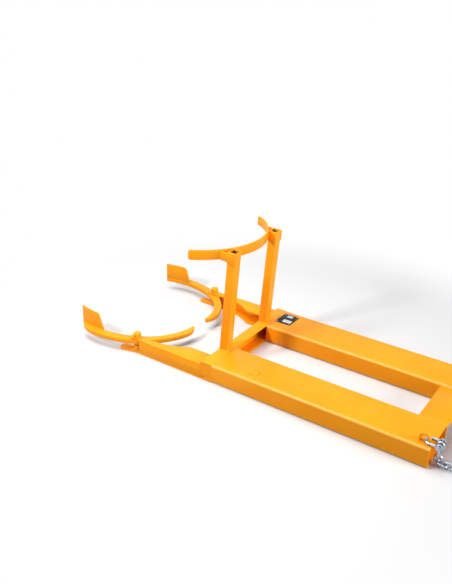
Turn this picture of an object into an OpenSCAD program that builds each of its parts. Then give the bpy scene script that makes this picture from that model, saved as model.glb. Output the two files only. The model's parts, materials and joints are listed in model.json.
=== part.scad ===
// Grab attachment: two box sleeves behind a front channel, two outriggers in front of it that carry
// swinging grip arms, and two leaning posts with a curved saddle bar.
// X runs across, Y from the grip arms (-Y) to the open sleeve ends (+Y), Z up from the floor.
// Sub-parts are drawn on the right (+X) and mirrored for the left.

/* [Sleeves] */
// Width of a sleeve across its outside
sleeve_w = 166; // [130:1:200]
// Height of the sleeves and of the front channel
sleeve_h = 75; // [71:1:90]
// Distance between the centre lines of the sleeves
sleeve_pitch = 390; // [380:5:560]
// Length of the frame, from the channel's face to the open sleeve ends
frame_l = 880; // [600:10:1400]
// Thickness of the folded sheet
sheet_t = 5; // [3:0.5:6]
// Outside radius of the folded corners
bend_r = 9; // [7:0.5:12]

/* [Cross members] */
// Depth of the front channel, from its face to its open side
channel_d = 50; // [46:1:90]
// Diameter of the drain hole in each end plate of the channel
drain_d = 8; // [5:1:12]
// Length of the rear cross plate along the sleeves
rear_plate_d = 100; // [50:5:200]
// Thickness of the rear cross plate
rear_plate_t = 10; // [6:1:15]
// Drop from the sleeve tops to the rear cross plate
rear_plate_drop = 10; // [0:1:20]

/* [Outriggers] */
// Thickness of the outrigger plates
plate_t = 6; // [5:0.5:8]
// Drop from the sleeve tops to the outrigger tops
outrigger_drop = 13; // [10:1:14]
// Width of an outrigger at the front channel
outrigger_w = 80; // [65:1:110]
// Distance from the channel's face to the pivot axis
pivot_reach = 318; // [260:1:450]
// Distance from the outrigger's outer face to the pivot axis
pivot_inset = 14; // [12:0.5:20]
// Distance from the channel's face to the centre of the round bay between the outriggers
bay_reach = 252; // [200:1:300]
// Radius of the top plate's nose, half the width of the strip under the pivot
tab_r = 15; // [13:0.5:20]
// Distance from the pivot to the centre of the top plate's nose
tab_reach = 19; // [8:1:30]
// Radius of the bottom plate's nose
tongue_r = 22; // [16:1:30]
// Distance from the pivot to the centre of the bottom plate's nose
tongue_reach = 58; // [40:1:90]

/* [Pivots] */
// Diameter of the pivot pins
pin_d = 20; // [14:1:22]
// Diameter of the pin head, the collar and the lower boss
boss_d = 31; // [28:1:36]
// Height of the collar on the top plate
collar_h = 19; // [12:1:30]
// Height of the pin's domed head
head_h = 6; // [4:0.5:8]
// Wall of the arm's bush
bush_wall = 2; // [1.5:0.5:2.5]
// How far the bush stands above the arm
bush_proud = 1.4; // [0.5:0.1:2]
// Thickness of the thrust washer under the arm
washer_t = 2; // [1:0.5:4]
// Diameter of the roll pin through the collar
roll_d = 5; // [3:0.5:6]

/* [Grip arms] */
// Thickness of an arm
arm_t = 18; // [12:1:22]
// Width of the front limb
front_limb_w = 36; // [28:1:40]
// Width of the rear limb
rear_limb_w = 30; // [24:1:32]
// Radius of the front limb's inner edge
front_r = 356; // [300:1:450]
// Radius of the rear limb's inner edge
rear_r = 235; // [220:1:260]
// Angle that the front limb bends through
front_sweep = 45.2; // [30:0.2:50]
// Angle that the rear limb bends through
rear_sweep = 59.8; // [40:0.2:62]
// Angle over which each limb narrows to its tip
taper_sweep = 16; // [10:0.5:20]
// Width of a limb's tip
tip_w = 6; // [3:0.5:10]
// Distance from the pivot axis in to the arm's inner edge
arm_inset = 26; // [25:0.5:30]
// Turn of the open arm away from the outrigger's direction
arm_set = 29; // [26:0.5:32]
// Diameter of the arm's eye
hub_d = 34; // [30:1:38]

/* [Grip pads] */
// Thickness of a pad
pad_t = 6; // [4:0.5:8]
// Height of a pad above its arm
pad_h = 70; // [40:1:90]
// Length of a pad along the foot, as an angle of the front limb
pad_sweep = 20.5; // [12:0.5:28]
// How far the pad's rear edge slants forwards
pad_slant = 24; // [10:1:35]
// Radius of the pad's rear top corner
pad_corner = 14; // [5:1:20]

/* [Posts and saddle] */
// Width of a post across the frame
post_w = 40; // [30:1:50]
// Depth of a post along the frame
post_d = 35; // [30:1:38]
// Wall of a post
post_wall = 3; // [2:0.5:4]
// Clear distance between the posts
post_gap = 240; // [200:5:280]
// Distance from the channel's face to the foot of a post
post_setback = 4.3; // [4:0.1:8]
// Lean of the posts to the rear, in degrees
post_lean = 3.8; // [3:0.1:5]
// Height of the posts' tops above the floor
post_top = 482; // [400:1:700]
// Radius of the saddle bar's inner face
saddle_r = 262; // [240:1:300]
// Half the angle that the saddle bar bends through
saddle_half = 63; // [50:1:70]
// Height of the saddle bar's section
saddle_h = 37; // [25:1:60]
// Thickness of the saddle bar
saddle_t = 6; // [5:0.5:8]
// How far the saddle bar stands above the posts
saddle_rise = 2; // [0:0.5:5]
// Radius of the saddle bar's corners
saddle_corner = 8; // [3:0.5:12]
// How deep the posts are notched for the saddle bar
saddle_bite = 2.8; // [2.5:0.1:3.5]
// Thickness of the gusset plates
gusset_t = 5; // [4:0.5:8]
// Height of the gusset plates
gusset_h = 39; // [30:1:60]

/* [Plate and lug] */
// Length of the rating plate across the sleeve
label_w = 84; // [50:1:100]
// Width of the rating plate along the sleeve
label_d = 68; // [40:1:80]
// Thickness of the rating plate
label_t = 1.5; // [1:0.1:2]
// Diameter of the rivet heads
rivet_head_d = 6; // [5:0.5:8]
// Side of the square lug
lug_w = 34; // [25:1:50]
// Height of the square lug
lug_h = 5; // [3:0.5:10]
// Distance from the channel's face to the centre of the lug
lug_y = 210; // [100:5:500]

/* [Chain] */
// Diameter of the chain eye's bar
eye_bar = 10; // [8:0.5:12]
// Distance between the legs of the chain eye
eye_span = 32; // [30:1:40]
// Height of the chain eye above the sleeve
eye_h = 33; // [30:1:45]
// Distance from the sleeve's end to the chain eye's rear leg
eye_back = 14; // [12:1:16]
// Distance from the sleeve's outer face to the chain eye
eye_in = 32; // [28:1:45]
// Diameter of the shackle's bar and pin
shackle_bar = 10; // [8:0.5:10]
// Clear width of the shackle
shackle_gap = 24; // [22:0.5:26]
// Distance from the shackle's bow centre to its pin
shackle_l = 30; // [29:0.5:34]
// Diameter of the chain's wire
wire_d = 8; // [7:0.5:8]
// Clear length of a link
link_in = 24; // [22.5:0.5:24]
// Turn of each link on the floor against the one before, in degrees
link_turn = 30; // [15:1:35]
// Length of the snap hook between the centres of its round ends
hook_l = 58; // [50:1:80]

/* [Hidden] */
$fn = 64;
play = 0.1;                     // between links, and round the hook's eye
fit = 0.05;                     // radial clearance of pins in their holes
axial_gap = 0.3;                // above and below an arm's bush

x_out = (sleeve_pitch + sleeve_w) / 2;
x_in = (sleeve_pitch - sleeve_w) / 2;
inner_bend = bend_r - sheet_t;

outrigger_top = sleeve_h - outrigger_drop;
pivot = [x_out - pivot_inset, -pivot_reach];
bay_r = x_out - 2 * tab_r;
pin_hole_r = pin_d / 2 + fit;
bush_r = pin_hole_r + bush_wall;
side_front = -pivot_reach + hub_d / 2 + 1;

plate_gap = outrigger_top - 2 * plate_t;
bush_l = arm_t + bush_proud;
boss_h = plate_gap - washer_t - 2 * axial_gap - bush_l;
washer_z = plate_t + boss_h;
arm_z = washer_z + washer_t + axial_gap;

// Centre of the front limb's bend and outer corner of its tip
front_c = pivot - (arm_inset + front_r) * along(arm_set);
front_tip = front_c + (front_r + tip_w) * along(arm_set - front_sweep);

// The row's Y origin lies halfway between the arm tips and the sleeve ends
row_y = -(frame_l + front_tip.y) / 2;

post_x = (post_gap + post_w) / 2;
saddle_z = post_top + saddle_rise - saddle_h;
// Front face of a post at the saddle bar's lower edge
post_front = post_setback + (saddle_z - sleeve_h) * tan(post_lean);
saddle_y = post_front + saddle_bite - sqrt(pow(saddle_r + saddle_t, 2) - pow(post_gap / 2, 2));

eye_x = x_out - eye_in;
eye_rear = frame_l - eye_back;
bow_r = (shackle_gap + shackle_bar) / 2;
// The eye's leg rests inside the bow, against the outer limb
shackle_x = eye_x - (shackle_gap - eye_bar) / 2 + 1;
bow_y = eye_rear + sqrt(pow((shackle_gap - eye_bar) / 2 - play, 2) - pow(eye_x - shackle_x, 2));
shackle_z = sleeve_h + shackle_bar / 2;
shackle_end = bow_y + shackle_l;
shackle_eye_r = 11;
shackle_eye_t = 0.8 * shackle_bar;

wire_r = wire_d / 2;
link_r = 10;                    // middle radius of a link's round ends
link_straight = link_in - 2 * (link_r - wire_r);
seat = wire_r + play;           // from a wire's centre to the link that hangs on it
floor_seat = link_r - wire_r;   // and where the chain lies slack on the floor
short_step = link_in - 2 * seat;
long_step = link_in + wire_d;
chain_links = 13;
drop_z = shackle_z - (link_in - shackle_bar / 2 - play - seat) - long_step - short_step;
floor_z = 2 * wire_d - wire_r + play;
dip = asin((drop_z - floor_z) / long_step);
landing_y = shackle_end + long_step * cos(dip);
hook_r = 11;
hook_bar = 8;
hook_tilt = asin((floor_z - hook_bar / 2) / (hook_l + 2 * hook_r));
gate_pivot = 22;
gate_d = 7;

function along(a) = [cos(a), sin(a)];
function link_name(i) = str("chain_link_", i < 10 ? "0" : "", i);

// Outline helpers

function unit(v) = v / norm(v);

// Arc that rounds the corner at p between its neighbours a and b
function corner(a, p, b, r, n) =
    let (u = unit(a - p), v = unit(b - p), half = acos(u * v) / 2,
         c = p + unit(u + v) * r / sin(half),
         s = p + u * r / tan(half) - c, e = p + v * r / tan(half) - c,
         a0 = atan2(s.y, s.x), turn = (atan2(e.y, e.x) - a0 + 540) % 360 - 180)
    [for (k = [0:n]) c + r * [cos(a0 + turn * k / n), sin(a0 + turn * k / n)]];

// Outline through points [x, y, radius], with each corner rounded to its radius
function rounded(pts, n = 8) =
    let (m = len(pts), xy = [for (p = pts) [p.x, p.y]])
    [for (i = [0:m - 1]) each pts[i][2] == 0 ? [xy[i]]
        : corner(xy[(i + m - 1) % m], xy[i], xy[(i + 1) % m], pts[i][2], n)];

module round_rect(w, h, r) {
    translate([-w / 2, r]) square([w, h - 2 * r]);
    translate([r - w / 2, 0]) square([w - 2 * r, h]);
    for (x = [r - w / 2, w / 2 - r], y = [r, h - r])
        translate([x, y]) circle(r);
}

// Box section that stands on the X axis
module box_section(w, h, r, t) {
    difference() {
        round_rect(w, h, r);
        translate([0, t]) round_rect(w - 2 * t, h - 2 * t, r - t);
    }
}

// Rectangle from y = 0 to y = d, with round corners at y = 0
module round_backed(d, h, r) {
    translate([0, r]) square([r, h - 2 * r]);
    translate([r, 0]) square([d - r, h]);
    for (y = [r, h - r])
        translate([r, y]) circle(r);
}

module tube(d, hole_r, h) {
    difference() {
        cylinder(d = d, h = h);
        translate([0, 0, -1]) cylinder(r = hole_r, h = h + 2);
    }
}

// Bar that is bent round the Z axis from angle a through sweep
module bent_bar(r, bar_r, a, sweep) {
    rotate(a) rotate_extrude(angle = sweep) translate([r, 0]) circle(bar_r);
}

// Straight bar along X
module bar_x(x0, x1, y, r) {
    translate([x0, y, 0]) rotate([0, 90, 0]) cylinder(r = r, h = x1 - x0);
}

// Prism that runs along X, with its outline in Y and Z
module along_x(x0, x1) {
    translate([x0, 0, 0]) rotate([90, 0, 90]) linear_extrude(x1 - x0) children();
}

module placed() {
    translate([0, row_y, 0]) children();
}

module left() {
    mirror([1, 0, 0]) children();
}

module paint() {
    color("#F5A31B") children();
}

module zinc() {
    color("#C9CDD2") children();
}

// Frame

module right_sleeve() {
    paint() placed() translate([sleeve_pitch / 2, frame_l, 0]) rotate([90, 0, 0])
        linear_extrude(frame_l - channel_d) box_section(sleeve_w, sleeve_h, bend_r, sheet_t);
}

module channel_hollow() {
    translate([sheet_t, sheet_t])
        round_backed(channel_d - sheet_t, sleeve_h - 2 * sheet_t, inner_bend);
}

module front_channel() {
    paint() placed() along_x(-x_out, x_out) difference() {
        round_backed(channel_d, sleeve_h, bend_r);
        channel_hollow();
        translate([bend_r, sheet_t]) square([channel_d, sleeve_h - 2 * sheet_t]);
    }
}

module right_end_plate() {
    paint() placed() along_x(x_out - sheet_t, x_out) difference() {
        channel_hollow();
        translate([sheet_t + drain_d, sheet_t + drain_d]) circle(d = drain_d);
    }
}

module rear_cross_plate() {
    paint() placed() translate([-x_in, frame_l - rear_plate_d, sleeve_h - rear_plate_drop - rear_plate_t])
        cube([2 * x_in, rear_plate_d, rear_plate_t]);
}

// Outriggers

module right_side_plate() {
    paint() placed() translate([x_out - plate_t, side_front, plate_t])
        cube([plate_t, -side_front, plate_gap]);
}

// Root of an outrigger plate, cut to the round bay, with the strip that leads to the pivot
module outrigger_root() {
    difference() {
        translate([x_out - outrigger_w, -bay_reach]) square([outrigger_w, bay_reach]);
        translate([0, -bay_reach]) circle(bay_r, $fn = 180);
    }
    translate([bay_r, pivot.y]) square([2 * tab_r, pivot_reach - bay_reach]);
}

module right_top_plate() {
    nose = [bay_r + tab_r, pivot.y - tab_reach];
    paint() placed() translate([0, 0, outrigger_top - plate_t]) linear_extrude(plate_t) difference() {
        union() {
            outrigger_root();
            translate([bay_r, nose.y]) square([2 * tab_r, tab_reach]);
            translate(nose) circle(tab_r);
        }
        translate(pivot) circle(pin_hole_r);
    }
}

// The bottom plate widens from the strip to its nose
module right_bottom_plate() {
    nose = [bay_r + tongue_r, pivot.y - tongue_reach];
    from = [x_out, pivot.y] - nose;
    edge_r = tongue_r - 0.2;
    edge_a = atan2(from.y, from.x) - acos(edge_r / norm(from));
    paint() placed() linear_extrude(plate_t) difference() {
        union() {
            outrigger_root();
            polygon([[bay_r, pivot.y], [bay_r, nose.y], nose, nose + edge_r * along(edge_a),
                     [x_out, pivot.y]]);
            translate(nose) circle(tongue_r);
        }
        translate(pivot) circle(pin_hole_r);
    }
}

// Pivots

module at_pivot(z) {
    placed() translate([pivot.x, pivot.y, z]) children();
}

module roll_pin_hole() {
    translate([0, 0, collar_h / 2]) rotate([0, 90, 0])
        cylinder(d = roll_d, h = boss_d + 2, center = true);
}

module right_collar() {
    paint() at_pivot(outrigger_top) difference() {
        tube(boss_d, pin_hole_r, collar_h);
        roll_pin_hole();
    }
}

// Pin with a cap that is cut from a ball, so that it domes down to a short rim
module right_pivot_pin() {
    rim = 1.5;
    rise = head_h - rim;
    ball_r = (pow(boss_d / 2, 2) + pow(rise, 2)) / (2 * rise);
    paint() at_pivot(outrigger_top) difference() {
        union() {
            translate([0, 0, 0.5 - outrigger_top]) cylinder(d = pin_d, h = outrigger_top + collar_h);
            translate([0, 0, collar_h]) intersection() {
                cylinder(d = boss_d, h = head_h + 1);
                translate([0, 0, head_h - ball_r]) sphere(ball_r);
            }
        }
        roll_pin_hole();
    }
}

module right_roll_pin() {
    zinc() at_pivot(outrigger_top + collar_h / 2) rotate([0, 90, 0]) difference() {
        cylinder(d = roll_d, h = boss_d - 1, center = true);
        cylinder(d = roll_d / 2, h = boss_d + 1, center = true);
    }
}

module right_lower_boss() {
    paint() at_pivot(plate_t) tube(boss_d, pin_hole_r, boss_h);
}

module right_thrust_washer() {
    zinc() at_pivot(washer_z) tube(boss_d + 3, pin_hole_r, washer_t);
}

// Grip arms, drawn in the open position

// Flat bar that is bent round the Z axis, from the X axis through sweep
module band(r, w, t, sweep) {
    rotate_extrude(angle = sweep, $fn = 180) translate([r, 0]) square([w, t]);
}

// Limb that starts beside the pivot, bends through sweep and narrows to its tip. The arc that cuts
// its outer edge leaves that edge taper_sweep before the end and meets the tip's outer corner
module limb(r, w, sweep) {
    out = r + w;
    tip = r + tip_w;
    arc_c = (pow(out, 2) - pow(tip, 2)) / (2 * (out - tip * cos(taper_sweep)));
    arc_r = out - arc_c;
    translate([-arm_inset - r, 0, 0]) difference() {
        band(r, w, arm_t, sweep);
        rotate(sweep - taper_sweep) translate([arc_c, 0, -1]) linear_extrude(arm_t + 2) difference() {
            square(2 * arc_r);
            circle(arc_r + 0.2, $fn = 180);
        }
    }
}

module right_grip_arm() {
    paint() at_pivot(arm_z) rotate(arm_set) difference() {
        union() {
            limb(rear_r, rear_limb_w, rear_sweep);
            mirror([0, 1, 0]) limb(front_r, front_limb_w, front_sweep);
            cylinder(d = hub_d, h = arm_t);
        }
        translate([0, 0, -1]) cylinder(r = bush_r, h = arm_t + 2);
    }
}

module right_arm_bush() {
    color("#B08D57") at_pivot(arm_z) tube(2 * bush_r, pin_hole_r, bush_l);
}

// The pad is the front limb's inner edge carried upwards, trimmed to its outline
module right_grip_pad() {
    foot = front_r * PI * pad_sweep / 180;
    outline = rounded([[-foot, -1, 0], [foot / 2, -1, 0], [foot / 2, 0, 0],
                       [foot / 2 - pad_slant, pad_h, pad_corner], [-foot, pad_h, 0]]);
    paint() placed() translate([front_c.x, front_c.y, arm_z + arm_t]) rotate(arm_set - front_sweep)
        intersection() {
            band(front_r, pad_t, pad_h, pad_sweep);
            rotate(pad_sweep / 2) along_x(front_r * 0.9, front_r + 2 * pad_t) polygon(outline);
        }
}

// Posts and saddle

module saddle_round(r, z, h) {
    translate([0, saddle_y, z]) cylinder(r = r, h = h, $fn = 180);
}

module right_post() {
    paint() placed() difference() {
        translate([post_x, post_setback, sleeve_h]) rotate([-post_lean, 0, 0])
            translate([0, 0, -post_d]) linear_extrude((post_top - sleeve_h) / cos(post_lean) + post_d)
                box_section(post_w, post_d, post_wall + 1, post_wall);
        translate([post_x - post_w, -2 * post_d, sleeve_h - 3 * post_d])
            cube([2 * post_w, 5 * post_d, 3 * post_d]);
        saddle_round(saddle_r + saddle_t, saddle_z, saddle_h + 20);
    }
}

// What a square corner loses when it is rounded
module corner_waste(r) {
    difference() {
        square(2 * r);
        circle(r);
    }
}

module saddle_bar() {
    trim = saddle_corner;
    paint() placed() translate([0, saddle_y, saddle_z]) difference() {
        rotate(90 - saddle_half) band(saddle_r, saddle_t, saddle_h, 2 * saddle_half);
        for (side = [0, 1]) mirror([side, 0, 0]) rotate(90 - saddle_half)
            along_x(saddle_r - saddle_t, saddle_r + 2 * saddle_t) {
                translate([trim, trim]) rotate(180) corner_waste(trim);
                translate([trim, saddle_h - trim]) rotate(90) corner_waste(trim);
            }
    }
}

module right_gusset() {
    x0 = post_gap / 2 + post_w;
    high = post_top - post_wall;
    low = high - gusset_h;
    step = gusset_h / 10;
    front = post_setback - post_d;
    rear = post_setback + post_d / cos(post_lean) - sleeve_h * tan(post_lean);
    outline = rounded([[front, low + step, 0], [front + 1.5 * post_d, low + step, 3 * step],
                       [rear - post_d / 3 + low * tan(post_lean), low - step, 0],
                       [rear + low * tan(post_lean), low - step, post_wall],
                       [rear + high * tan(post_lean), high, post_wall], [front, high, 0]]);
    paint() placed() difference() {
        along_x(x0, x0 + gusset_t) polygon(outline);
        saddle_round(saddle_r + saddle_t, low - 20, 80);
    }
}

// Plate and lug

module on_left_sleeve() {
    placed() translate([-(x_in + sleeve_w * 0.58), channel_d + 9 + label_d / 2, sleeve_h]) children();
}

module each_rivet() {
    for (x = [-1, 1], y = [-1, 1])
        translate([x * (label_w / 2 - 6), y * (label_d / 2 - 6), 0]) children();
}

module rating_plate() {
    color("#1B1B1D") on_left_sleeve() difference() {
        linear_extrude(label_t) translate([0, -label_d / 2]) round_rect(label_w, label_d, 4);
        each_rivet() translate([0, 0, -1]) cylinder(d = rivet_head_d / 2, h = label_t + 2);
    }
}

module plate_rivets() {
    zinc() on_left_sleeve() each_rivet() {
        cylinder(d = rivet_head_d / 2, h = label_t);
        translate([0, 0, label_t]) intersection() {
            cylinder(d = rivet_head_d, h = rivet_head_d / 4);
            translate([0, 0, rivet_head_d * -0.6]) sphere(rivet_head_d * 0.8);
        }
    }
}

module square_lug() {
    paint() placed() translate([x_out - sleeve_w * 0.3, lug_y, sleeve_h]) linear_extrude(lug_h)
        translate([0, -lug_w / 2]) round_rect(lug_w, lug_w, 2);
}

// Securing chain

// Round-bar arch whose legs stand on the sleeve
module chain_eye() {
    arch_r = eye_span / 2;
    leg = eye_h - arch_r - eye_bar / 2;
    paint() placed() translate([eye_x, eye_rear - arch_r, sleeve_h]) {
        translate([0, 0, leg]) rotate([90, 0, 90]) bent_bar(arch_r, eye_bar / 2, 0, 180);
        for (y = [-arch_r, arch_r])
            translate([0, y, 0]) cylinder(d = eye_bar, h = leg);
    }
}

module at_shackle() {
    placed() translate([shackle_x, bow_y, shackle_z]) children();
}

module shackle_bow() {
    zinc() at_shackle() difference() {
        union() {
            bent_bar(bow_r, shackle_bar / 2, 180, 180);
            for (x = [-bow_r, bow_r]) {
                translate([x, 0, 0]) rotate([-90, 0, 0]) cylinder(d = shackle_bar, h = shackle_l);
                translate([x - shackle_eye_t / 2, shackle_l, 0]) rotate([0, 90, 0])
                    cylinder(r = shackle_eye_r, h = shackle_eye_t);
            }
        }
        translate([0, shackle_l, 0]) rotate([0, 90, 0])
            cylinder(r = shackle_bar / 2 + fit, h = 4 * bow_r, center = true);
    }
}

module shackle_pin() {
    reach = bow_r + shackle_bar / 2;
    zinc() at_shackle() translate([0, shackle_l, 0]) rotate([0, 90, 0]) {
        translate([0, 0, -reach - 3]) cylinder(d = shackle_bar, h = 2 * reach + 3);
        translate([0, 0, reach]) cylinder(d = 1.6 * shackle_bar, h = 0.6 * shackle_bar);
    }
}

// One link, long way along X, lying in the plane of X and Y
module link() {
    for (s = [-1, 1]) {
        translate([s * link_straight / 2, 0, 0]) bent_bar(link_r, wire_r, -s * 90, 180);
        bar_x(-link_straight / 2, link_straight / 2, s * link_r, wire_r);
    }
}

// Heading of floor link i. Odd links stand on edge and even ones lie flat
function heading(i) = 90 + min(90, (i - 5) * link_turn) + max(0, i - 9) * 4;
function step_of(i) = i % 2 == 0 ? link_in - 2 * floor_seat : long_step;
// Where link i + 1 turns on link i
function turn_point(i) = i == 5
    ? [shackle_x, landing_y - floor_seat + link_in / 2 + long_step / 2]
    : turn_point(i - 1) + step_of(i) * along(heading(i));

module chain_link(i) {
    top_z = shackle_z + shackle_bar / 2 + play - link_in / 2;
    zinc() placed()
        if (i == 1 || i == 3)
            translate([shackle_x, shackle_end, i == 1 ? top_z : drop_z - seat + link_in / 2])
                rotate([0, 90, 0]) link();
        else if (i == 2)
            translate([shackle_x, shackle_end, drop_z + short_step + long_step / 2])
                rotate([0, 90, 0]) rotate([90, 0, 0]) link();
        else if (i == 4)
            translate([shackle_x, (shackle_end + landing_y) / 2, (drop_z + floor_z) / 2])
                rotate([-dip, 0, 0]) rotate(90) link();
        else if (i == 5)
            translate([shackle_x, turn_point(5).y - long_step / 2, link_r + wire_r])
                rotate(90) rotate([90, 0, 0]) link();
        else
            translate(concat(turn_point(i) - step_of(i) / 2 * along(heading(i)),
                             i % 2 == 0 ? floor_z : link_r + wire_r))
                rotate(heading(i)) rotate([i % 2 == 0 ? 0 : 90, 0, 0]) link();
}

// The hook's eye holds the last link, and its far end lies on the floor
module at_hook() {
    a = heading(chain_links + 1);
    at = turn_point(chain_links) - (floor_seat + hook_bar / 2) * along(a);
    placed() translate([at.x, at.y, floor_z]) rotate(a) rotate([0, hook_tilt, 0]) children();
}

module hook_body() {
    r = hook_bar / 2;
    far = hook_r + hook_l;
    gate_end = far - 9;
    zinc() at_hook() difference() {
        union() {
            translate([hook_r, 0, 0]) bent_bar(hook_r, r, 90, 180);
            translate([far, 0, 0]) bent_bar(hook_r, r, -90, 180);
            bar_x(hook_r, far, -hook_r, r);
            bar_x(hook_r, gate_pivot - 5, hook_r, r);
            bar_x(gate_end, far, hook_r, r);
            translate([gate_pivot, hook_r, -1.5]) cylinder(r = 3.3, h = 3);
            translate([gate_pivot - 6, hook_r - 3.3, -1.5]) cube([6, 6.6, 3]);
        }
        translate([gate_pivot, hook_r, -5]) cylinder(r = 1.5 + fit, h = 10);
    }
}

module hook_gate() {
    r = gate_d / 2;
    zinc() at_hook() difference() {
        union() {
            bar_x(gate_pivot, hook_r + hook_l - 9.5, hook_r, r);
            translate([gate_pivot, hook_r, -r]) cylinder(r = r, h = gate_d);
        }
        translate([gate_pivot - 5, hook_r - 5, -1.7]) cube([10, 10, 3.4]);
        translate([gate_pivot, hook_r, -5]) cylinder(r = 1.5, h = 10);
    }
}

module gate_pin() {
    zinc() at_hook() translate([gate_pivot, hook_r, -gate_d / 2]) cylinder(r = 1.5, h = gate_d);
}

right_sleeve();
left() right_sleeve();  // left_sleeve
front_channel();
right_end_plate();
left() right_end_plate();  // left_end_plate
rear_cross_plate();
right_side_plate();
left() right_side_plate();  // left_side_plate
right_top_plate();
left() right_top_plate();  // left_top_plate
right_bottom_plate();
left() right_bottom_plate();  // left_bottom_plate
right_collar();
left() right_collar();  // left_collar
right_pivot_pin();
left() right_pivot_pin();  // left_pivot_pin
right_lower_boss();
left() right_lower_boss();  // left_lower_boss
right_thrust_washer();
left() right_thrust_washer();  // left_thrust_washer
right_roll_pin();
left() right_roll_pin();  // left_roll_pin
right_grip_arm();
left() right_grip_arm();  // left_grip_arm
right_arm_bush();
left() right_arm_bush();  // left_arm_bush
right_grip_pad();
left() right_grip_pad();  // left_grip_pad
right_post();
left() right_post();  // left_post
saddle_bar();
right_gusset();
left() right_gusset();  // left_gusset
rating_plate();
plate_rivets();
square_lug();
chain_eye();
shackle_bow();
shackle_pin();
hook_body();
hook_gate();
gate_pin();
for (i = [1:chain_links])
    chain_link(i);
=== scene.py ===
"""Grab attachment with two sleeves, swinging grip arms and a curved saddle bar: finishes, edges and welds.

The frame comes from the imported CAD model, in metres: X across, Y from the grip arms to the open sleeve
ends, Z up from the floor. Lengths below are in millimetres, and Y is measured from the front channel's
face, as in the part's source. metres() takes such points to the row frame.
"""
import json
import math

import bmesh
import bpy
import numpy as np
from mathutils import Matrix, Vector


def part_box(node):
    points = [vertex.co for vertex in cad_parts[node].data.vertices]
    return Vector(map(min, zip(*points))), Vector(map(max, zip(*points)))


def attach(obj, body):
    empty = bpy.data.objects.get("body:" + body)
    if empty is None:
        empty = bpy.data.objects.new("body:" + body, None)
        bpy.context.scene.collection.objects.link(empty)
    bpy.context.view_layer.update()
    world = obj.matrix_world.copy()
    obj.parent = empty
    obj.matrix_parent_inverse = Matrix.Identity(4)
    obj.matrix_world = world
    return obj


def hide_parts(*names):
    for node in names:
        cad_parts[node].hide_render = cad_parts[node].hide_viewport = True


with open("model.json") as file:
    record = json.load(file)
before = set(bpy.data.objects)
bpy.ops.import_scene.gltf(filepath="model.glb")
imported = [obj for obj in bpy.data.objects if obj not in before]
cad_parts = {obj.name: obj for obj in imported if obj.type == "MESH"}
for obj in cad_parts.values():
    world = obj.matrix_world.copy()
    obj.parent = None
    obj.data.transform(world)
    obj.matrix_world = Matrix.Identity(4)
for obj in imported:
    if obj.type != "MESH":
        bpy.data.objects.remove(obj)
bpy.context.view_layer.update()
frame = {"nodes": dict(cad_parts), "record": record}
nodes = frame["nodes"]

ROW_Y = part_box("front_channel")[0][1] * 1000    # the row's Y of the channel's face


def corners(node):
    """Lowest and highest corner of a CAD piece, in millimetres from the channel's face."""
    return [np.array(c) * 1000 - [0, ROW_Y, 0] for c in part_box(node)]


def metres(points):
    """Millimetres from the channel's face, as metres in the row frame."""
    return (np.asarray(points, float) + [0.0, ROW_Y, 0.0]) * 0.001


def unit(v):
    """Vectors made one long."""
    v = np.asarray(v, float)
    return v / np.linalg.norm(v, axis=-1, keepdims=True)


def polar(degrees):
    """Unit vectors in the floor's plane at these angles from the X axis."""
    a = np.radians(np.asarray(degrees, float))
    return np.stack([np.cos(a), np.sin(a), np.zeros_like(a)], -1)


# Sizes, as in the part's source

X_OUT, SLEEVE_TOP = corners("front_channel")[1][[0, 2]]
BEND_R = 9.0                # outside radius of the folded corners
COLLAR_R = 15.5
PIVOT = sum(corners("right_collar"))[:2] / 2
FRONT_R = 356.0             # inner edge of a grip arm's front limb
FRONT_SWEEP = 45.2          # degrees that the limb takes in
ARM_SET = 29.0              # degrees from the X axis at which it leaves the hub
ARM_INSET = 26.0            # from the pivot to that edge
PAD_T = 6.0
POST_LOW, POST_HIGH = corners("right_post")
POST_LEAN = 3.8             # degrees
POST_D = 35.0
POST_WALL = 3.0
POST_CORNER = 4.0
POST_SETBACK = 4.3          # from the channel's face to the post's foot
SADDLE_OUT = 268.0          # radius of the saddle bar's back
EYE_R = 5.0                 # the chain eye's round bar
WIRE_R = 4.0                # the chain's wire
LINK_R = 10.0               # middle of a link's round end
LINK_STRAIGHT = 12.0        # a link's straight, between its round ends


# Colours and shader nodes


def srgb(code):
    """Linear colour of an sRGB hex value."""
    value = np.array([int(code[i:i + 2], 16) for i in (1, 3, 5)]) / 255
    linear = np.where(value <= 0.04045, value / 12.92, ((value + 0.055) / 1.055) ** 2.4)
    return (*(float(v) for v in linear), 1.0)


def add(tree, kind, settings=(), **links):
    """Adds a node. settings are its properties and socket values, links the sockets that feed it. A
    socket goes by its name or, as i0, i1 and so on, by its number."""
    def key(name):
        return int(name[1:]) if name[1:].isdigit() else name.replace("_", " ")

    node = tree.nodes.new(kind)
    for name, value in dict(settings).items():
        if hasattr(node, name):
            setattr(node, name, value)
        else:
            node.inputs[key(name)].default_value = value
    for name, source in links.items():
        tree.links.new(source, node.inputs[key(name)])
    return node


def begin(name, **sockets):
    """New material with a Principled shader, and its Object coordinates."""
    made = bpy.data.materials.new(name)
    made.use_nodes = True
    tree = made.node_tree
    tree.nodes.clear()
    out = tree.nodes.new("ShaderNodeOutputMaterial")
    shader = add(tree, "ShaderNodeBsdfPrincipled", sockets)
    tree.links.new(shader.outputs[0], out.inputs[0])
    where = tree.nodes.new("ShaderNodeTexCoord").outputs["Object"]
    return made, tree, shader, where


def ramp(tree, source, *stops):
    """Runs a value between two stops, each a position and a hex colour or a grey level."""
    node = add(tree, "ShaderNodeValToRGB", Fac=source)
    for end, (position, tone) in zip(node.color_ramp.elements, stops):
        end.position = position
        end.color = srgb(tone) if isinstance(tone, str) else (tone, tone, tone, 1.0)
    return node.outputs[0]


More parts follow.
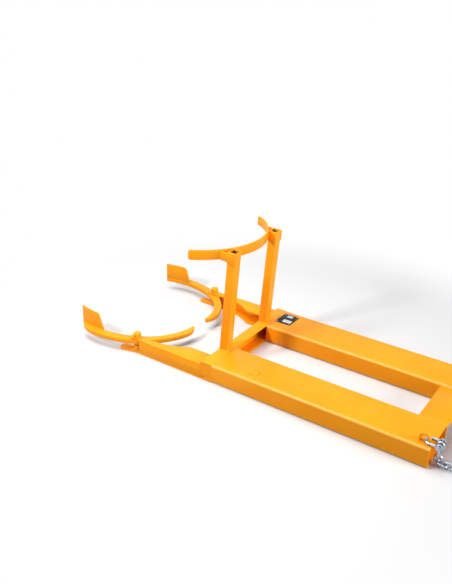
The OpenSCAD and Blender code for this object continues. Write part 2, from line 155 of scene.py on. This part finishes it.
def drive(tree, shader, socket, source, *stops):
    """Feeds a shader's socket from a pattern, through a ramp."""
    tree.links.new(ramp(tree, source, *stops), shader.inputs[socket])


def noise(tree, where, size_mm, detail=2.0, rough=0.5):
    """Noise whose blobs are about size_mm across: one size, or one along each axis."""
    scale = 1000.0 / np.asarray(size_mm, float)
    if scale.ndim:
        where = add(tree, "ShaderNodeMapping", {"i3": tuple(scale)}, i0=where).outputs[0]
        scale = 1.0
    return add(tree, "ShaderNodeTexNoise", {"Scale": float(scale), "Detail": detail, "Roughness": rough},
               Vector=where).outputs[0]


def bumped(tree, shader, height, depth_mm, strength):
    """Turns the shader's normals by a pattern of this depth."""
    node = add(tree, "ShaderNodeBump", {"Strength": strength, "Distance": depth_mm * 0.001}, Height=height)
    tree.links.new(node.outputs[0], shader.inputs["Normal"])


# Materials


RIM_DEPTH = (2.0, 12.0)     # below a post's rim, where the painted shade inside it begins and is full


def painted_post_shade(tree, where):
    """1 down inside a post's tube, 0 on its rim and outside: where a dark brown shade is painted in.

    Both posts fold onto one by the absolute value. There a point is taken to the tube's own axes, from
    the middle of its rim, in shares of the hollow's half width and half depth: inside, both are under 1.
    """
    # 0.3 mm into the wall, so that its inner face counts as inside
    clear = 0.3 - POST_WALL
    half = ((POST_HIGH[0] - POST_LOW[0]) / 2 + clear, POST_D / 2 + clear)
    back = POST_SETBACK + POST_D / 2 + (POST_HIGH[2] - SLEEVE_TOP) * math.tan(math.radians(POST_LEAN))
    rim = metres([(POST_LOW[0] + POST_HIGH[0]) / 2, back, POST_HIGH[2]])
    folded = add(tree, "ShaderNodeVectorMath", {"operation": "ABSOLUTE"}, i0=where).outputs[0]
    local = add(tree, "ShaderNodeMapping",
                {"vector_type": "TEXTURE", "i1": tuple(abs(rim)), "i2": (math.radians(POST_LEAN), 0, 0),
                 "i3": (half[0] * 0.001, half[1] * 0.001, 0.001)}, i0=folded).outputs[0]
    across = add(tree, "ShaderNodeVectorMath", {"operation": "ABSOLUTE"}, i0=local).outputs[0]
    share = add(tree, "ShaderNodeSeparateXYZ", i0=across).outputs
    widest = add(tree, "ShaderNodeMath", {"operation": "MAXIMUM"}, i0=share[0], i1=share[1]).outputs[0]
    inside = add(tree, "ShaderNodeMath", {"operation": "LESS_THAN", "i1": 1.0}, i0=widest).outputs[0]
    depth = add(tree, "ShaderNodeMapRange", {"i1": RIM_DEPTH[0], "i2": RIM_DEPTH[1]}, i0=share[2])
    return add(tree, "ShaderNodeMath", {"operation": "MULTIPLY"}, i0=inside, i1=depth.outputs[0]).outputs[0]


def painted_bend_highlight(tree, where):
    """1 along the middle of a sleeve's four folded corners, 0 on its faces: where a pale highlight is
    painted in.

    A point is taken to the sleeve's own middle, and both its distances from there are added up: on the
    faces the sum stays under that of a corner's ends, and round a corner it grows by up to 0.41 BEND_R.
    The tone rises from 0.03 to 0.36 of it, so that it is narrower than the bend.
    """
    low, high = corners("right_sleeve")
    middle = (low + high) * 0.0005
    folded = add(tree, "ShaderNodeVectorMath", {"operation": "ABSOLUTE"}, i0=where).outputs[0]
    local = add(tree, "ShaderNodeMapping",
                {"vector_type": "TEXTURE", "i1": (middle[0], 0, middle[2]), "i3": (0.001, 1, 0.001)},
                i0=folded).outputs[0]
    across = add(tree, "ShaderNodeVectorMath", {"operation": "ABSOLUTE"}, i0=local).outputs[0]
    total = add(tree, "ShaderNodeVectorMath", {"operation": "DOT_PRODUCT", "i1": (1, 0, 1)},
                i0=across).outputs["Value"]
    face = (high[0] - low[0] + high[2] - low[2]) / 2 - BEND_R
    return add(tree, "ShaderNodeMapRange",
               {"interpolation_type": "SMOOTHSTEP", "i1": face + 0.03 * BEND_R, "i2": face + 0.36 * BEND_R},
               i0=total).outputs[0]


def powder_coated_steel(name, scuffed=0.35, drag_lines=0.0, pale=None, dark=None):
    """Polyester powder coat, sprayed and baked: a thick even film of one saturated colour, with a soft
    gloss, orange peel about 2 mm across, slow drifts of tone, and rub marks where hands and loads go.
    Under it, a flame-cut face keeps the upright drag lines of the torch, about 1.6 mm apart. Round a
    folded corner a pale highlight is painted into the film, and down a hollow post a dark brown shade is
    painted in."""
    made, tree, shader, where = begin(name, IOR=1.5, Specular_IOR_Level=0.16, Coat_Weight=0.04,
                                      Coat_Roughness=0.12)
    film = ramp(tree, noise(tree, where, 160, 3), (0.3, "#FC990E"), (0.7, "#FFA313"))
    # Painted light: a pale highlight along the sleeves' bends, and a dark brown shade down inside the posts
    for mask, tone in ((pale, "#FFB955"), (dark, "#7A4E1A")):
        if mask:
            film = add(tree, "ShaderNodeMix", {"data_type": "RGBA", "i7": srgb(tone)},
                       i0=mask(tree, where), i6=film).outputs[2]
    # Rub marks run along the frame: streaks 1.5 mm wide and 50 mm long, in patches 120 mm across
    streaks = ramp(tree, noise(tree, where, (1.5, 50, 1.5), 4, 0.6), (0.56, 0), (0.70, 1))
    patches = ramp(tree, noise(tree, where, 120), (0.50, 0), (0.66, scuffed))
    marks = add(tree, "ShaderNodeMath", {"operation": "MULTIPLY"}, i0=streaks, i1=patches).outputs[0]
    worn = add(tree, "ShaderNodeMix", {"data_type": "RGBA", "i7": srgb("#FFC052")}, i0=marks, i6=film)
    tree.links.new(worn.outputs[2], shader.inputs["Base Color"])
    drive(tree, shader, "Roughness", marks, (0, 0.4), (1, 0.62))
    height = noise(tree, where, 2.2)
    if drag_lines:
        lines = noise(tree, where, (1.6, 1.6, 60))
        height = add(tree, "ShaderNodeMath", {"operation": "MULTIPLY_ADD", "i1": drag_lines},
                     i0=lines, i2=height).outputs[0]
    bumped(tree, shader, height, depth_mm=0.05, strength=0.22)
    return made


def zinc_plated_steel():
    """Bright zinc plate on rolled wire: a bluish grey metal, dulled by handling into cloudy patches."""
    made, tree, shader, where = begin("zinc_plated_steel", Metallic=1.0)
    cloud = noise(tree, where, 9, 4, 0.6)
    drive(tree, shader, "Base Color", cloud, (0.35, "#8A939D"), (0.7, "#C8D0D8"))
    drive(tree, shader, "Roughness", cloud, (0.3, 0.42), (0.7, 0.24))
    bumped(tree, shader, noise(tree, where, 0.9), depth_mm=0.03, strength=0.2)
    return made


def oiled_bronze():
    """Turned bronze bearing stock, oiled: warm brown metal with rings from the lathe tool 0.5 mm apart."""
    made, tree, shader, where = begin("oiled_bronze", Metallic=1.0, Roughness=0.34)
    drive(tree, shader, "Base Color", noise(tree, where, 14), (0.3, "#8A6A3C"), (0.7, "#B08D57"))
    # Blender's bands repeat 20 times in one unit of scale
    rings = add(tree, "ShaderNodeTexWave", {"bands_direction": "Z", "Scale": 1000.0 / 0.5 / 20.0},
                Vector=where)
    bumped(tree, shader, rings.outputs[1], depth_mm=0.02, strength=0.2)
    return made


def greased_steel():
    """Turned steel under bearing grease: dark brown, smeared in rings, glossy where the grease is thick."""
    made, tree, shader, where = begin("greased_steel", Metallic=0.7)
    smear = noise(tree, where, (6, 6, 1.5), 4, 0.6)
    drive(tree, shader, "Base Color", smear, (0.35, "#3A2C1E"), (0.7, "#7A6650"))
    drive(tree, shader, "Roughness", smear, (0.3, 0.18), (0.7, 0.45))
    bumped(tree, shader, smear, depth_mm=0.08, strength=0.3)
    return made


def phosphated_steel():
    """Spring steel with an oiled phosphate skin, as roll pins have: matt and brownish black."""
    made, tree, shader, where = begin("phosphated_steel", Metallic=0.5)
    tone = noise(tree, where, 3, 3)
    drive(tree, shader, "Base Color", tone, (0.3, "#3A322C"), (0.7, "#5C5148"))
    drive(tree, shader, "Roughness", tone, (0.3, 0.42), (0.7, 0.6))
    return made


def black_anodised_aluminium():
    """Black anodised aluminium sheet: satin, nearly black, with a fine grain from the rolling."""
    made, tree, shader, where = begin("black_anodised_aluminium", Roughness=0.42, Specular_IOR_Level=0.2)
    grain = noise(tree, where, (20, 0.6, 20), 3, 0.6)
    drive(tree, shader, "Base Color", grain, (0.3, "#0C0E0F"), (0.7, "#17191B"))
    bumped(tree, shader, grain, depth_mm=0.01, strength=0.15)
    return made


def etched_aluminium():
    """Bare aluminium left in the black by the etching mask: pale, matt, a little uneven."""
    made, tree, shader, where = begin("etched_aluminium", Metallic=0.6, Roughness=0.45)
    drive(tree, shader, "Base Color", noise(tree, where, 6, 3), (0.3, "#B9C0C2"), (0.7, "#D3D8D8"))
    return made


PAINT = powder_coated_steel("powder_coated_steel")
PAINT_CUT = powder_coated_steel("powder_coated_flame_cut_steel", scuffed=0.9, drag_lines=1.6)
# Tube paint with a dark brown shade painted in down inside the posts
PAINT_TUBE_PAINTED_SHADE = powder_coated_steel("powder_coated_tube", dark=painted_post_shade)
# Folded sheet paint with a pale highlight painted along its bends
PAINT_FOLDED_PAINTED_HIGHLIGHT = powder_coated_steel("powder_coated_folded_sheet", pale=painted_bend_highlight)
ZINC = zinc_plated_steel()
BRONZE = oiled_bronze()
GREASED = greased_steel()
SPRING = phosphated_steel()
PLATE = black_anodised_aluminium()
FIELD = etched_aluminium()


# Meshes


def surface(name, grid, body, finish, wrap=False):
    """Mesh over a grid of points in metres: rows follow the path, and columns go once round the section.

    wrap joins the last row to the first. Otherwise both ends get a face.
    """
    grid = np.asarray(grid, float)
    rows, cols = grid.shape[:2]
    i = np.arange(rows if wrap else rows - 1)[:, None]
    j = np.arange(cols)[None, :]
    turns = [(i, j), (i, (j + 1) % cols), ((i + 1) % rows, (j + 1) % cols), ((i + 1) % rows, j)]
    faces = np.stack([(a * cols + b).ravel() for a, b in turns], -1).tolist()
    if not wrap:
        faces += [list(range(cols))[::-1], list(range((rows - 1) * cols, rows * cols))]
    mesh = bpy.data.meshes.new(name)
    mesh.from_pydata(grid.reshape(-1, 3).tolist(), [], faces)
    return piece(name, mesh, body, finish)


def piece(name, mesh, body, finish, sharp=35):
    """Finishes a mesh as a piece: outward faces, smooth but for edges sharper than that angle, a body."""
    work = bmesh.new()
    work.from_mesh(mesh)
    bmesh.ops.recalc_face_normals(work, faces=work.faces)
    work.to_mesh(mesh)
    work.free()
    mesh.polygons.foreach_set("use_smooth", [True] * len(mesh.polygons))
    mesh.set_sharp_from_angle(angle=math.radians(sharp))
    mesh.materials.append(finish)
    made = bpy.data.objects.new(name, mesh)
    bpy.context.scene.collection.objects.link(made)
    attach(made, body)
    return made


def softened(node, body, finish, width_mm):
    """A CAD node's own shape with its sharp edges broken to a small round, as coating leaves them.

    Edges that turn by more than 38 degrees count as sharp.
    """
    mesh = nodes[node].data.copy()
    work = bmesh.new()
    work.from_mesh(mesh)
    bmesh.ops.remove_doubles(work, verts=work.verts, dist=2e-6)
    bmesh.ops.dissolve_limit(work, angle_limit=math.radians(0.4), verts=work.verts, edges=work.edges)
    folds = [e for e in work.edges if len(e.link_faces) == 2 and e.calc_face_angle(0) > math.radians(38)]
    bmesh.ops.bevel(work, geom=folds, offset=width_mm * 0.001, segments=2, profile=0.5, affect="EDGES",
                    clamp_overlap=True)
    bmesh.ops.triangulate(work, faces=[f for f in work.faces if len(f.verts) > 4])
    work.to_mesh(mesh)
    work.free()
    mesh.materials.clear()
    made = piece(node + "_coated", mesh, body, finish, sharp=50)
    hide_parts(node)


def main_axes(node):
    """Centre of a CAD piece in metres, and its three main directions as columns, longest first.

    They are the axes of inertia of its surface. Each triangle counts at the middles of its sides, by
    its area, which is exact.
    """
    mesh = nodes[node].data
    mesh.calc_loop_triangles()
    points = np.empty(len(mesh.vertices) * 3, np.float32)
    mesh.vertices.foreach_get("co", points)
    index = np.empty(len(mesh.loop_triangles) * 3, np.int32)
    mesh.loop_triangles.foreach_get("vertices", index)
    tri = points.astype(float).reshape(-1, 3)[index.reshape(-1, 3)]
    area = np.linalg.norm(np.cross(tri[:, 1] - tri[:, 0], tri[:, 2] - tri[:, 0]), axis=1)
    middles = ((tri + np.roll(tri, 1, axis=1)) / 2).reshape(-1, 3)
    weight = np.repeat(area, 3)[:, None]
    centre = (weight * middles).sum(0) / weight.sum()
    spread = (middles - centre).T @ (weight * (middles - centre))
    return centre, np.linalg.eigh(spread)[1][:, ::-1]


def chain_link(node, body):
    """Welded link: round wire bent to a racetrack, in the place of its CAD node.

    s runs along the wire from its weld, half way along one straight. The wire has turned by
    phi = (|s| - half the straight) / LINK_R, between 0 and half a turn. Round the weld it is thicker by
    13 % times exp(-(s / 1.6 mm) squared). psi goes round the wire.
    """
    half = LINK_STRAIGHT / 2
    s = (np.arange(96) / 96 - 0.5) * (2 * LINK_STRAIGHT + 2 * math.pi * LINK_R)
    way = np.sign(s)
    run = np.abs(s)
    phi = np.clip((run - half) / LINK_R, 0, math.pi)
    past = np.maximum(run - half - math.pi * LINK_R, 0)
    x = (way * (np.minimum(run, half) + LINK_R * np.sin(phi) - past))[:, None]
    y = (-LINK_R * np.cos(phi))[:, None]
    psi = 2 * math.pi * np.arange(16) / 16
    thick = (WIRE_R * (1 + 0.13 * np.exp(-(s / 1.6) ** 2)))[:, None]
    outward = thick * np.cos(psi)
    local = np.stack([x + outward * (way * np.sin(phi))[:, None],
                      y - outward * np.cos(phi)[:, None],
                      thick * np.sin(psi)], -1)
    centre, axes = main_axes(node)
    # The welded side is the upper one
    axes[:, 1] *= -1 if axes[2, 1] > 0 else 1
    made = surface(node + "_welded", centre + 0.001 * local @ axes.T, body, ZINC, wrap=True)
    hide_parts(node)


def rounded_loop(low, high, r, n=7):
    """Points round a rectangle whose corners are arcs of radius r, and its outward directions there."""
    a = np.radians(np.linspace(0, 90, n) + 90 * np.arange(4)[:, None])
    out = np.stack([np.cos(a), np.sin(a)], -1)
    middle = np.array([[high[0] - r, high[1] - r], [low[0] + r, high[1] - r],
                       [low[0] + r, low[1] + r], [high[0] - r, low[1] + r]])
    return (middle[:, None] + r * out).reshape(-1, 2), out.reshape(-1, 2)


def at_height(points, z):
    """Points in the floor's plane, lifted to z."""
    points = np.asarray(points, float)
    return np.column_stack([points, np.broadcast_to(z, len(points))])


# The CAD nodes' finishes and edges

SLOTS = {s["node"]: s["material_slot"] for s in frame["record"]["subparts"]}
BODY_OF = {n: b for b, ns in frame["record"]["behaviour"]["bodies"].items() for n in ns}
FRAME_BODY = BODY_OF["front_channel"]
SLOT_FINISH = {"paint": PAINT, "zinc": ZINC, "fastener": ZINC, "bush": BRONZE, "plate": PLATE}
OWN_FINISH = {"grip_arm": PAINT_CUT, "grip_pad": PAINT_CUT, "post": PAINT_TUBE_PAINTED_SHADE, "sleeve": PAINT_FOLDED_PAINTED_HIGHLIGHT,
              "thrust_washer": GREASED, "roll_pin": SPRING}
# How far the coating or the grinding rounds each kind of edge, in millimetres
EDGES = {"sleeve": 0.9, "front_channel": 0.9, "cross_plate": 1.0, "side_plate": 0.9, "top_plate": 0.9,
         "bottom_plate": 0.9, "grip_arm": 1.4, "grip_pad": 0.9, "post": 0.7, "saddle_bar": 0.9,
         "gusset": 0.8, "collar": 0.7, "lower_boss": 0.7, "pivot_pin": 0.6, "square_lug": 0.8,
         "rating_plate": 0.2, "shackle_pin": 0.6, "thrust_washer": 0.3}


def by_kind(table, node, otherwise=None):
    """The table's entry for a node's kind, which its name ends in."""
    return next((value for kind, value in table.items() if node.endswith(kind)), otherwise)


for name, node in nodes.items():
    finish = by_kind(OWN_FINISH, name, SLOT_FINISH[SLOTS[name]])
    node.data.materials.clear()
    node.data.materials.append(finish)
    width = by_kind(EDGES, name)
    if width:
        softened(name, BODY_OF[name], finish, width)

for name in nodes:
    if name.startswith("chain_link"):
        chain_link(name, BODY_OF[name])


# Welds

LEFT, RIGHT, FRONT, BACK, DOWN, UP = (-1, 0, 0), (1, 0, 0), (0, -1, 0), (0, 1, 0), (0, 0, -1), (0, 0, 1)
RIPPLE = 3.4                # from one ripple of a bead to the next
SWELL = 0.08                # share by which a ripple swells and shrinks it
BOW = 0.45                  # share of a ripple by which its middle is ahead
RUN_OUT = 4.0               # stretch over which an end runs out
TIP = 0.08                  # least share of that stretch, at the very end
DIP = 0.25                  # by which toes and root lie inside the plates


def bead(name, path, foot, wall, leg, closed=False, body=FRAME_BODY):
    """Fillet weld along a corner, painted over.

    Across, t goes from the foot to the wall: (1 - t) foot + t wall, pushed out by a quarter at the middle
    so that it is round. Along, the size is leg times 1 - SWELL + 2 SWELL |sin(turn / 2)|. The turn is
    2 pi times the ripples so far, less BOW at the middle of the bead. An open bead's ends run out by the
    root of the distance from the end over RUN_OUT.
    """
    path = np.asarray(path, float)
    foot = np.broadcast_to(unit(foot), path.shape)
    wall = np.broadcast_to(unit(wall), path.shape)
    if closed:
        path, foot, wall = (np.vstack([v, v[:1]]) for v in (path, foot, wall))
    reach = np.concatenate([[0], np.cumsum(np.linalg.norm(np.diff(path, axis=0), axis=1))])
    length = reach[-1]
    ripples = max(1, round(length / RIPPLE))
    # Five points on each ripple
    s = np.linspace(0, length, max(8, ripples * 5) + 1)[:(-1 if closed else None)]
    path, foot, wall = (np.stack([np.interp(s, reach, v[:, k]) for k in range(3)], -1)
                        for v in (path, foot, wall))
    foot = unit(foot)
    wall = unit(wall)
    t = np.linspace(0, 1, 7)
    round_off = t * (1 - t)
    turn = 2 * math.pi * (s[:, None] * ripples / length - BOW * 4 * round_off)
    size = leg * (1 - SWELL + 2 * SWELL * np.abs(np.sin(turn / 2)))
    if not closed:
        size *= np.clip(np.minimum(s, length - s) / RUN_OUT, TIP, 1)[:, None] ** 0.5
    across = (1 - t)[:, None] * foot[:, None] + t[:, None] * wall[:, None]
    outer = path[:, None] + (size * (1 + round_off))[..., None] * across
    outer[:, 0] -= DIP * wall
    outer[:, -1] -= DIP * foot
    root = path - DIP * (foot + wall)
    grid = np.concatenate([outer, root[:, None]], 1)
    return surface(name, metres(grid), body, PAINT, wrap=closed)


def both(name, path, foot, wall, leg, closed=False, bodies=(FRAME_BODY, FRAME_BODY)):
    """The same bead on the right and, mirrored in X, on the left."""
    for side, sign, body in (("right_", 1, bodies[0]), ("left_", -1, bodies[1])):
        run = (np.asarray(v, float) * [sign, 1, 1] for v in (path, foot, wall))
        bead(side + name, *run, leg, closed, body)


# Outriggers: the seams on the channel, quarter rings round the collars, and stitches clear of the arm
TOP_LOW, TOP_HIGH = corners("right_top_plate")
BOTTOM_HIGH = corners("right_bottom_plate")[1]
SIDE_X = corners("right_side_plate")[0][0]
SHORT = 2                   # by which a seam stops short of a corner
ROOT = 78                   # an outrigger plate's root on the channel, as far as it is welded
SEAM_X = X_OUT - ROOT, X_OUT - SHORT
SIDE_Z = BOTTOM_HIGH[2] + SHORT, TOP_LOW[2] - SHORT
STITCH = 40
# Height and side of each plate's stitches on the side plate, and where they start in Y
STITCHES = {"bottom_plate": (BOTTOM_HIGH[2], UP, (-60, -150, -240)),
            "top_plate": (TOP_LOW[2], DOWN, (-60, -150))}
for plate, z in (("top_plate", TOP_HIGH[2]), ("bottom_plate", BOTTOM_HIGH[2])):
    both(plate + "_root_weld", [[x, 0, z] for x in SEAM_X], FRONT, UP, leg=4)
    for k, middle in enumerate((-90, 90), 1):
        arc = polar(np.linspace(middle - 45, middle + 45, 13))
        ring = at_height(PIVOT + COLLAR_R * arc[:, :2], z)
        both(f"{plate}_pivot_weld_{k}", ring, arc, UP, leg=3)
both("side_plate_root_weld", [[SIDE_X, 0, z] for z in SIDE_Z], LEFT, FRONT, leg=3)
for plate, (z, way, starts) in STITCHES.items():
    for k, y in enumerate(starts, 1):
        both(f"{plate}_stitch_{k}", [[SIDE_X, y, z], [SIDE_X, y + STITCH, z]], LEFT, way, leg=3)

# Posts: in front, the foot runs down onto the channel's bend. There drop is how far a point lies before
# the bend's axis, and rise how far the bend stands above that axis.
foot_d = POST_D / math.cos(math.radians(POST_LEAN))
ring, out = rounded_loop((POST_LOW[0], POST_SETBACK), (POST_HIGH[0], POST_SETBACK + foot_d), POST_CORNER)
drop = np.maximum(BEND_R - ring[:, 1], 0)
rise = np.sqrt(BEND_R ** 2 - drop ** 2)
both("post_foot_weld", at_height(ring, SLEEVE_TOP - BEND_R + rise),
     np.column_stack([out, out[:, 1] * drop / rise]), (0, math.tan(math.radians(POST_LEAN)), 1),
     leg=4, closed=True)

# Saddle bar: upright seams at the posts' inner corners and at the gussets, and the gussets' lower edges.
# The bar's back is round, so at x it lies deep from its axis.
SADDLE_LOW, SADDLE_HIGH = corners("saddle_bar")
GUSSET_LOW, GUSSET_HIGH = corners("right_gusset")
GUSSET_EDGE = ((28.5, 6.9), (51.9, 0), (63, 0))     # Y, and height above its lowest point
for name, x, turn in (("saddle_post_weld", POST_LOW[0], -1), ("saddle_gusset_weld", GUSSET_HIGH[0], 1)):
    deep = math.sqrt(SADDLE_OUT ** 2 - x ** 2)
    y = SADDLE_HIGH[1] - SADDLE_OUT + deep
    along_bar = (turn * deep, -turn * x, 0)
    both(name, [[x, y, SADDLE_LOW[2] + 1], [x, y, GUSSET_HIGH[2] - 1]], along_bar, BACK, leg=3)
both("gusset_weld", [[POST_HIGH[0], y, GUSSET_LOW[2] + up] for y, up in GUSSET_EDGE], DOWN, RIGHT, leg=4)

# Pads: they stand on the front limbs' inner edge, from 1.7 to 20 degrees off its tip
limb_centre = PIVOT - (ARM_INSET + FRONT_R) * polar(ARM_SET)[:2]
arc = polar(ARM_SET - FRONT_SWEEP + np.linspace(1.7, 20, 31))
both("pad_weld", at_height(limb_centre + (FRONT_R + PAD_T) * arc[:, :2], corners("right_grip_pad")[0][2]),
     arc, UP, leg=3, bodies=(BODY_OF["right_grip_arm"], BODY_OF["left_grip_arm"]))

# Rear cross plate: its long edges on the sleeves' inner sides
CROSS_LOW, CROSS_HIGH = corners("rear_cross_plate")
CROSS_Y = CROSS_LOW[1] + SHORT, CROSS_HIGH[1] - SHORT
for name, z, way in (("upper", CROSS_HIGH[2], UP), ("lower", CROSS_LOW[2], DOWN)):
    both(f"cross_plate_{name}_weld", [[CROSS_HIGH[0], y, z] for y in CROSS_Y], LEFT, way, leg=3)

# Chain eye and square lug, on the right sleeve only
EYE_LOW, EYE_HIGH = corners("chain_eye")
LUG_LOW, LUG_HIGH = corners("square_lug")
LUG_CORNER = 2.0
eye_x = (EYE_LOW[0] + EYE_HIGH[0]) / 2
ring = polar(np.arange(0, 360, 20))
bead("chain_eye_front_weld", [eye_x, EYE_LOW[1] + EYE_R, SLEEVE_TOP] + EYE_R * ring, ring, UP,
     leg=2.5, closed=True)
ring = polar(np.arange(10, 171, 20))
bead("chain_eye_rear_weld", [eye_x, EYE_HIGH[1] - EYE_R, SLEEVE_TOP] + EYE_R * ring, ring, UP, leg=2)
ring, out = rounded_loop(LUG_LOW[:2], LUG_HIGH[:2], LUG_CORNER)
bead("square_lug_weld", at_height(ring, SLEEVE_TOP), at_height(out, 0), UP, leg=2, closed=True)


# Rating plate

FIELD_CORNER = 2.0
# A field's rings, by their inset from its outline and their lift from the plate's face: up over a small
# round, and in across the top
FIELD_RINGS = ((0, -0.2), (0, 0.1), (0.08, 0.2), (0.25, 0.24), (1.9, 0.24))


def blank_field(name, low, high):
    """Raised blank field on the rating plate, its corners measured from the plate's middle."""
    plate_low, plate_high = corners("rating_plate")
    middle = (plate_low + plate_high)[:2] / 2
    rings = []
    for inset, lift in FIELD_RINGS:
        ring, _ = rounded_loop(middle + low + inset, middle + high - inset, FIELD_CORNER - inset, n=5)
        rings.append(at_height(ring, plate_high[2] + lift))
    surface(name, metres(rings), FRAME_BODY, FIELD)


blank_field("rating_plate_small_field", low=(-36, -13), high=(-17, 11))
blank_field("rating_plate_large_field", low=(5, -10), high=(29, 28))


# Camera, fitted to the photograph, in metres and degrees

CAMERA_PLACE = (2.0637, 1.1739, 1.4044)
CAMERA_TURN = -236.03       # about the vertical
CAMERA_DOWN = 25.24         # below the horizon
CAMERA_LEAN = 1.55          # about its own axis
CAMERA_LENS = 42.66         # mm, over a sensor 36 mm high

scene = bpy.context.scene
view = bpy.data.objects.new("camera", bpy.data.cameras.new("camera"))
scene.collection.objects.link(view)
view.data.sensor_fit = "AUTO"
view.data.sensor_width = 36.0
view.data.lens = CAMERA_LENS
view.data.clip_end = 50.0
view.matrix_world = (Matrix.Translation(CAMERA_PLACE)
                     @ Matrix.Rotation(math.radians(CAMERA_TURN), 4, "Z")
                     @ Matrix.Rotation(math.radians(90 - CAMERA_DOWN), 4, "X")
                     @ Matrix.Rotation(math.radians(CAMERA_LEAN), 4, "Z"))
scene.camera = view
scene.view_settings.view_transform = "Standard"


# Light and floor, in metres


def softbox(name, place, aim, width, height, watts):
    """Plain rectangular lamp at place, facing aim."""
    data = bpy.data.lights.new(name, "AREA")
    data.shape = "RECTANGLE"
    data.size = width
    data.size_y = height
    data.energy = watts
    made = bpy.data.objects.new(name, data)
    scene.collection.objects.link(made)
    way = Vector(aim) - Vector(place)
    made.matrix_world = Matrix.Translation(place) @ way.to_track_quat("-Z", "Y").to_matrix().to_4x4()


def meets_background(tree):
    """1 for camera, glossy and transmission rays, which see the background, and 0 for the rest."""
    light_path = tree.nodes.new("ShaderNodeLightPath")
    seen = light_path.outputs["Is Camera Ray"]
    for way in ("Is Glossy Ray", "Is Transmission Ray"):
        seen = add(tree, "ShaderNodeMath", {"operation": "MAXIMUM"}, i0=seen,
                   i1=light_path.outputs[way]).outputs[0]
    return seen


def white_studio(sky):
    """World that looks white to the eye and lights the object at the sky's level."""
    world = bpy.data.worlds.new("studio")
    world.use_nodes = True
    tree = world.node_tree
    tree.nodes.clear()
    level = add(tree, "ShaderNodeMath", {"operation": "MULTIPLY_ADD", "i1": 1.0 - sky, "i2": sky},
                i0=meets_background(tree))
    back = add(tree, "ShaderNodeBackground", {"Color": (1, 1, 1, 1)}, Strength=level.outputs[0])
    tree.links.new(back.outputs[0], tree.nodes.new("ShaderNodeOutputWorld").inputs[0])
    return world


def white_paper(fade_from, fade_to):
    """Seamless white paper: matt. To the camera it is white but for the object's soft shadow, and it runs
    out into the white background between these distances from the middle."""
    made, tree, shader, where = begin("white_paper", Roughness=0.9, Specular_IOR_Level=0.2)
    out = shader.outputs[0].links[0].to_socket
    seen = meets_background(tree)
    tone = add(tree, "ShaderNodeMix", {"data_type": "RGBA", "i6": srgb("#878684"), "i7": srgb("#DFDFDF")},
               i0=seen)
    tree.links.new(tone.outputs[2], shader.inputs["Base Color"])
    reach = add(tree, "ShaderNodeVectorMath", {"operation": "LENGTH"}, i0=where).outputs["Value"]
    fade = add(tree, "ShaderNodeMapRange",
               {"interpolation_type": "SMOOTHSTEP", "i1": fade_from, "i2": fade_to}, i0=reach)
    far = add(tree, "ShaderNodeMath", {"operation": "MULTIPLY"}, i0=fade.outputs[0], i1=seen)
    white = add(tree, "ShaderNodeEmission", {"Color": (1, 1, 1, 1)})
    mixed = add(tree, "ShaderNodeMixShader", i0=far.outputs[0], i1=shader.outputs[0], i2=white.outputs[0])
    tree.links.new(mixed.outputs[0], out)
    return made


softbox("overhead_softbox", place=(0.2, -0.8, 2.6), aim=(0.1, -0.4, 0), width=2.2, height=2.2, watts=66)
softbox("rear_softbox", place=(-0.6, 6.4, 1.7), aim=(0, 0, 0.2), width=3.6, height=2.2, watts=390)
softbox("side_softbox", place=(1.9, -0.9, 1.65), aim=(0, -0.1, 0), width=0.4, height=0.4, watts=39)
scene.world = white_studio(sky=0.22)

FLOOR_HALF = 9.0
FLOOR_Z = -0.0005           # just under the object, so that no faces coincide
floor_mesh = bpy.data.meshes.new("studio_floor")
floor_mesh.from_pydata([(x * FLOOR_HALF, y * FLOOR_HALF, FLOOR_Z)
                        for x, y in ((-1, -1), (1, -1), (1, 1), (-1, 1))], [], [(0, 1, 2, 3)])
floor_mesh.materials.append(white_paper(fade_from=0.85, fade_to=1.4))
floor = bpy.data.objects.new("studio_floor", floor_mesh)
scene.collection.objects.link(floor)
